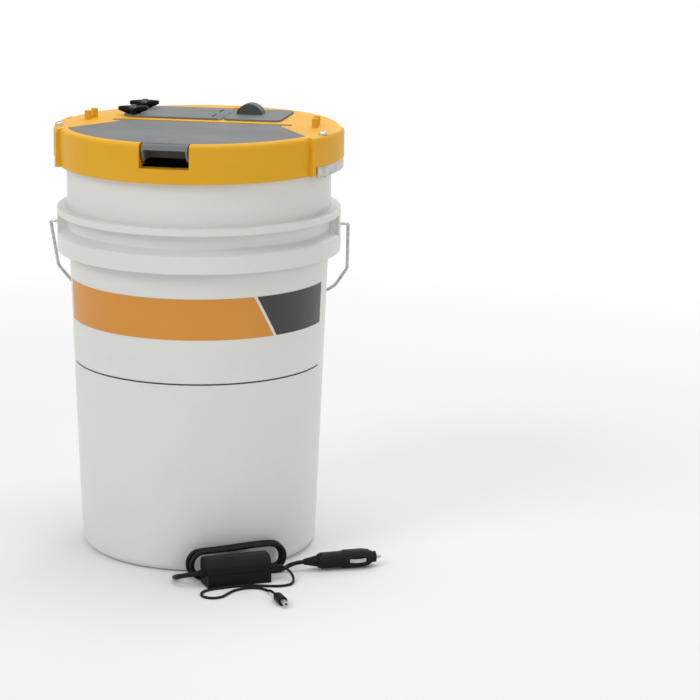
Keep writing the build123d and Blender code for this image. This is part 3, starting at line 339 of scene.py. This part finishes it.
dress(whitePlastic, "pail")
dress(yellowPlastic, "lid")
dress(greyPlastic, "flap", "battery_cover", "aerator_cover")
dress(blackPlastic, "knob_1", "knob_2", "switch_rocker", "pump_housing", "dc_jack", "adapter_box", "plug_body",
      "plug_nose", "connector_body")
dress(blackRubber, "lid_gasket", "pump_diaphragm", "diffuser_ring", "gland_supply", "gland_output",
      "plug_relief", "air_tube")
dress(cordVinyl, "supply_lead_hank", "supply_lead_box", "supply_lead_plug", "output_lead")
dress(rollerPlastic, "bail_grip")
dress(tubePlastic, "air_tube_guard")
dress(insertPlastic, "diffuser_insert")
dress(sleevePlastic, "battery_cell_1", "battery_cell_2")
dress(zincSteel, "bail", "side_latch_left", "side_latch_right", "latch_screw_left", "latch_screw_right",
      "knob_stud_1", "knob_stud_2", "contact_left", "contact_right", "pump_motor", "plug_tip",
      "plug_clip_1", "plug_clip_2", "connector_shaft")
dress(darkSteel, "latch_nut_left", "latch_nut_right")
print("materials set")


# its own flat frame: x along the pail's wall, y away from it, in millimetres
lead = {"turn": -58.0, "reach": 127.7, "supplyRadius": 2.3, "outputRadius": 1.4,
        "boxLeft": -47.0, "boxRight": 23.0, "boxMiddle": -34.9, "boxFront": -48.4,
        "glandHeight": 14.0, "glandLength": 6.0, "first": -3.4, "pitch": 5.1,
        "folds": [14.0, 13.5, 14.3], "rights": [37.0, 34.0, 36.0], "lefts": [-43.0, -40.0, -42.0],
        "plug": (69.0, -22.5, 10.2), "plugTurn": 4.0, "supplyLength": 0.915, "outputLength": 0.272}


def leadPoint(x, y, z):
    turn = math.radians(lead["turn"])
    swing = turn + math.pi / 2
    return Vector((lead["reach"] * math.cos(turn) + x * math.cos(swing) - y * math.sin(swing),
                   lead["reach"] * math.sin(turn) + x * math.sin(swing) + y * math.cos(swing), z)) / 1000


def hankPoints():
    # flattened turns: six points round each fold, two on each rising top run
    points = []
    y, low = lead["first"], lead["supplyRadius"]
    for fold, right, left in zip(lead["folds"], lead["rights"], lead["lefts"]):
        reach = fold / math.cos(math.radians(15))
        after = y - lead["pitch"]
        for step in range(6):
            a = math.radians(-75 + 30 * step)
            points.append((right + reach * math.cos(a), y, low + fold + reach * math.sin(a)))
        top = low + 2 * fold
        points.append((right * 0.74 + left * 0.26, y, top))
        points.append((right * 0.26 + left * 0.74, after, top))
        for step in range(6):
            a = math.radians(105 + 30 * step)
            points.append((left + reach * math.cos(a), after, low + fold + reach * math.sin(a)))
        y = after
    return points


def supplyPoints():
    start = lead["boxLeft"] - lead["glandLength"]
    middle, high, low = lead["boxMiddle"], lead["glandHeight"], lead["supplyRadius"]
    rear = lead["first"]
    last = lead["first"] - 3 * lead["pitch"]
    x, y, z = lead["plug"]
    swing = math.radians(-lead["plugTurn"])
    ahead = (x - 11 * math.cos(swing), y - 11 * math.sin(swing), z)
    toHank = [(start, middle, high), (start - 12.5, middle, high), (start - 21.5, middle + 9, 9.0),
              (start - 21.5, rear - 9, 4.5), (start - 12.5, rear, low), (-47.0, rear, low)]
    toPlug = [(34.0, last, low), (45.0, last, low), ahead, (x, y, z)]
    return toHank + hankPoints() + toPlug


def outputPoints():
    x = lead["boxRight"] + lead["glandLength"]
    y, high = lead["boxMiddle"], lead["glandHeight"]
    z, front = lead["outputRadius"], lead["boxFront"]
    return [
        (x, y, high), (x + 9, y, high), (x + 18, y - 7, 8.0), (x + 18, y - 18, 3.0),
        (x + 12, front - 15, z), (x, front - 18, z), (14, front - 13, z), (-1, front - 6, z),
        (-16, front - 3.5, z), (-33, front - 4, z), (-48, front - 5, z), (-59, front - 12, z),
        (-62, front - 24, z), (-54, front - 33, z), (-42, front - 32, z), (-33, front - 23, z),
        (-22, front - 14.5, z), (-7, front - 12, z), (5, front - 17, z), (10, front - 28, z),
        (9.3, front - 40, 5.0), (9.3, front - 52, 5.0),
    ]


def makeCord(name, points, radius, material):
    curve = bpy.data.curves.new(name, "CURVE")
    curve.dimensions = "3D"
    curve.bevel_depth = radius / 1000
    curve.bevel_resolution = 6
    curve.resolution_u = 10
    curve.use_fill_caps = True
    spline = curve.splines.new("NURBS")
    spline.points.add(len(points) - 1)
    for point, place in zip(spline.points, points):
        point.co = (*leadPoint(*place), 1)
    spline.order_u = 3
    spline.use_endpoint_u = True
    return addPiece(name, curve, material, "bucket")


supplyCord = makeCord("supplyCord", supplyPoints(), lead["supplyRadius"], cordVinyl)
outputCord = makeCord("outputCord", outputPoints(), lead["outputRadius"], cordVinyl)
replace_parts(supplyCord, "supply_lead_hank", "supply_lead_box", "supply_lead_plug")
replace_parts(outputCord, "output_lead")
print("lead laid")


# flat four-pointed knob in millimetres; each row is a share of the star's reach and a height above the cover
knob = {"points": 4, "reach": 16.0, "halfTip": 3.3, "crest": 0.5, "waist": 7.6, "turn": 12.0,
        "tipSteps": 4, "arcSteps": 12,
        "rows": [(0.42, 0.0), (0.94, 3.6), (1.0, 4.4), (1.0, 6.6),
                 (0.975, 7.3), (0.92, 7.7), (0.45, 8.5), (0.16, 8.7)]}


def starOutline():
    # blunt tips joined by hollow arcs through the waist
    reach, half, waist = knob["reach"], knob["halfTip"], knob["waist"]
    low = waist / math.sqrt(2)
    middle = (reach * reach + half * half - 2 * low * low) / (2 * (reach + half - 2 * low))
    hollow = math.hypot(middle - reach, middle - half)
    first = math.atan2(half - middle, reach - middle)
    last = math.atan2(reach - middle, half - middle) - 2 * math.pi
    points = []
    for index in range(knob["points"]):
        corner = []
        for step in range(knob["tipSteps"]):
            offset = -half + 2 * half * step / knob["tipSteps"]
            corner.append((reach + knob["crest"] * (1 - (offset / half) ** 2), offset))
        for step in range(knob["arcSteps"]):
            angle = first + (last - first) * step / knob["arcSteps"]
            corner.append((middle + hollow * math.cos(angle), middle + hollow * math.sin(angle)))
        turn = math.radians(index * 360 / knob["points"] + knob["turn"])
        across, along = math.cos(turn), math.sin(turn)
        points += [(x * across - y * along, x * along + y * across) for x, y in corner]
    return points


def makeKnob(name, node, body):
    low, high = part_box(node)
    middleX, middleY, foot = (low[0] + high[0]) / 2, (low[1] + high[1]) / 2, low[2]
    outline = starOutline()
    around = len(outline)
    vertices = []
    for share, height in knob["rows"]:
        level = foot + height / 1000
        vertices += [(middleX + x * share / 1000, middleY + y * share / 1000, level) for x, y in outline]
    faces = [tuple(reversed(range(around)))]
    lastRow = (len(knob["rows"]) - 1) * around
    for start in range(0, lastRow, around):
        for index in range(around):
            after = (index + 1) % around
            faces.append((start + index, start + after, start + around + after, start + around + index))
    faces.append(tuple(range(lastRow, len(vertices))))
    mesh = bpy.data.meshes.new(name)
    mesh.from_pydata(vertices, [], faces)
    for face in mesh.polygons:
        face.use_smooth = True
    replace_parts(addPiece(name, mesh, blackPlastic, body), node)


makeKnob("starKnobFront", "knob_1", "knob_front")
makeKnob("starKnobRear", "knob_2", "knob_rear")
print("knobs made")

# the hood is a lower arch than its solid and draws in a little towards its top; above its foot it takes a
# darker copy of the grey plastic as painted shade; metres
hood = {"middle": 0.040, "base": 0.466, "height": 0.0145, "squash": 0.80, "drawIn": 0.10,
        "moveFrom": 0.0003, "paintedShadeFrom": 0.0006}


def makeHoodedCover():
    mesh = nodes["aerator_cover"].data.copy()
    for vertex in mesh.vertices:
        rise = vertex.co.z - hood["base"]
        if rise > hood["moveFrom"]:
            share = min(rise / hood["height"], 1.0)
            narrow = 1.0 + hood["drawIn"] * ((1 - share) ** 3 - 0.5 * share)
            vertex.co.x = hood["middle"] + (vertex.co.x - hood["middle"]) * min(narrow, 1.0)
            vertex.co.z = hood["base"] + rise * hood["squash"]
    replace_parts(addPiece("hoodedCover", mesh, hoodPaintedShade, "bucket"), "aerator_cover")
    # faces above the hood's foot take the darker copy: painted shade over the whole arch
    for face in mesh.polygons:
        if face.center.z > hood["base"] + hood["paintedShadeFrom"]:
            face.material_index = 1


makeHoodedCover()
print("hooded cover made")


wall = {"foot": 129.0, "draft": 2.0}  # the pail's outside radius at the floor, and degrees of lean


def wallRadius(z):
    return wall["foot"] + z * math.tan(math.radians(wall["draft"]))


bands = {
    "face": -76.0,  # the wall's angle that faces the camera
    "orange": {"low": 257.0, "high": 301.0, "starts": (-77.6, -77.6), "ends": (34.6, 24.3)},
    "block": {"low": 257.0, "high": 301.0, "starts": (36.2, 25.8), "ends": (69.7, 69.7)},
    "line": {"low": 208.2, "high": 209.8, "starts": (-77.6, -77.6), "ends": (69.7, 69.7)},
    "proud": 0.16, "columns": 90, "rows": 4,
}


def bandPatch(name, place, material):
    # thin printed film that follows the drafted wall; the pair at each end is its angle below and above
    columns, rows = bands["columns"], bands["rows"]
    vertices = []
    for row in range(rows + 1):
        rise = row / rows
        z = place["low"] + (place["high"] - place["low"]) * rise
        first = place["starts"][0] * (1 - rise) + place["starts"][1] * rise
        last = place["ends"][0] * (1 - rise) + place["ends"][1] * rise
        for column in range(columns + 1):
            angle = math.radians(bands["face"] + first + (last - first) * column / columns)
            radius = wallRadius(z) + bands["proud"]
            vertices.append((radius * math.cos(angle) / 1000, radius * math.sin(angle) / 1000, z / 1000))
    faces = []
    for row in range(rows):
        for column in range(columns):
            a = row * (columns + 1) + column
            faces.append((a, a + 1, a + columns + 2, a + columns + 1))
    mesh = bpy.data.meshes.new(name)
    mesh.from_pydata(vertices, [], faces)
    for face in mesh.polygons:
        face.use_smooth = True
    addPiece(name, mesh, material, "bucket")


orangeInk = mouldedPlastic("orangeInk", {
    "colour": (0.70, 0.285, 0.030), "drift": (0.66, 0.25, 0.022), "driftScale": 20.0, "driftAmount": 0.4,
    "rough": 0.36, "roughSpan": 0.12, "rub": 0.3, "rubScale": 20.0, "rubColour": (0.74, 0.42, 0.14),
    "grain": 700.0, "wave": 1.0, "depth": 0.0002, "bump": 0.3})
darkInk = mouldedPlastic("darkInk", {
    "colour": (0.035, 0.033, 0.035), "drift": (0.028, 0.026, 0.028), "driftScale": 20.0, "driftAmount": 0.4,
    "rough": 0.36, "roughSpan": 0.12, "rub": 0.3, "rubScale": 20.0, "rubColour": (0.12, 0.115, 0.11),
    "grain": 700.0, "wave": 1.0, "depth": 0.0002, "bump": 0.3})
bandPatch("bandOrange", bands["orange"], orangeInk)
bandPatch("bandBlock", bands["block"], darkInk)
bandPatch("bandLine", bands["line"], darkInk)
print("bands printed")


studio = {"floor": (0.93, 0.93, 0.93), "floorDrift": (0.915, 0.915, 0.915), "floorSide": 16, "driftScale": 4.0,
          "fadeFrom": 0.55, "fadeTo": 1.5, "air": 0.5, "seenAir": 1.0, "aim": (0, 0, 0.25),
          "lamps": [("keyLamp", (-1.5, -2.2, 2.4), 1.6, 26.0), ("fillLamp", (2.4, -1.4, 1.5), 1.8, 8.0),
                    ("topLamp", (0.1, 0.3, 2.6), 1.6, 22.0), ("rearLamp", (0.4, 2.4, 1.6), 1.4, 8.0)]}


def makeFloor():
    bpy.ops.mesh.primitive_plane_add(size=studio["floorSide"], location=(0, 0, 0))
    floor = bpy.context.active_object
    floor.name = "studioFloor"
    material = bpy.data.materials.new("studioFloor")
    material.use_nodes = True
    tree = material.node_tree
    tree.nodes.clear()
    matt = addNode(tree, "ShaderNodeBsdfDiffuse", 0, 100)
    noise = noiseAt(tree, -400, 100, studio["driftScale"], 2.0)
    colour = mixColours(tree, -200, 100, noise, (*studio["floor"], 1), (*studio["floorDrift"], 1))
    tree.links.new(colour, matt.inputs["Color"])
    white = addNode(tree, "ShaderNodeEmission", 0, -100)
    place = addNode(tree, "ShaderNodeNewGeometry", -900, -100)
    length = addNode(tree, "ShaderNodeVectorMath", -700, -100, operation="LENGTH")
    tree.links.new(place.outputs["Position"], length.inputs[0])
    far = mapRange(tree, -500, -100, length.outputs["Value"], studio["fadeFrom"], studio["fadeTo"])
    rays = addNode(tree, "ShaderNodeLightPath", -900, -400)
    seen = calculate(tree, -500, -400, "MAXIMUM", rays.outputs["Is Camera Ray"], rays.outputs["Is Glossy Ray"])
    fade = calculate(tree, -250, -200, "MULTIPLY", far, seen)
    mix = addNode(tree, "ShaderNodeMixShader", 250)
    tree.links.new(fade, mix.inputs[0])
    tree.links.new(matt.outputs[0], mix.inputs[1])
    tree.links.new(white.outputs[0], mix.inputs[2])
    end = addNode(tree, "ShaderNodeOutputMaterial", 450)
    tree.links.new(mix.outputs[0], end.inputs[0])
    floor.data.materials.append(material)


def makeAir():
    world = bpy.data.worlds.new("studioAir")
    bpy.context.scene.world = world
    world.use_nodes = True
    tree = world.node_tree
    tree.nodes.clear()
    soft = addNode(tree, "ShaderNodeBackground", 0, 100)
    soft.inputs["Color"].default_value = (1, 1, 1, 1)
    soft.inputs["Strength"].default_value = studio["air"]
    white = addNode(tree, "ShaderNodeBackground", 0, -100)
    white.inputs["Color"].default_value = (1, 1, 1, 1)
    white.inputs["Strength"].default_value = studio["seenAir"]
    rays = addNode(tree, "ShaderNodeLightPath", -500, 300)
    mirrored = calculate(tree, -300, 300, "MAXIMUM", rays.outputs["Is Camera Ray"],
                         rays.outputs["Is Glossy Ray"])
    seen = calculate(tree, -150, 300, "MAXIMUM", mirrored, rays.outputs["Is Transmission Ray"])
    mix = addNode(tree, "ShaderNodeMixShader", 250)
    tree.links.new(seen, mix.inputs[0])
    tree.links.new(soft.outputs[0], mix.inputs[1])
    tree.links.new(white.outputs[0], mix.inputs[2])
    end = addNode(tree, "ShaderNodeOutputWorld", 450)
    tree.links.new(mix.outputs[0], end.inputs[0])


def makeLamps():
    for name, place, size, power in studio["lamps"]:
        light = bpy.data.lights.new(name, "AREA")
        light.shape = "DISK"
        light.size = size
        light.energy = power
        lamp = bpy.data.objects.new(name, light)
        bpy.context.scene.collection.objects.link(lamp)
        lamp.location = place
        lamp.rotation_euler = (Vector(studio["aim"]) - Vector(place)).to_track_quat("-Z", "Y").to_euler()


makeFloor()
makeAir()
makeLamps()
print("studio lit")
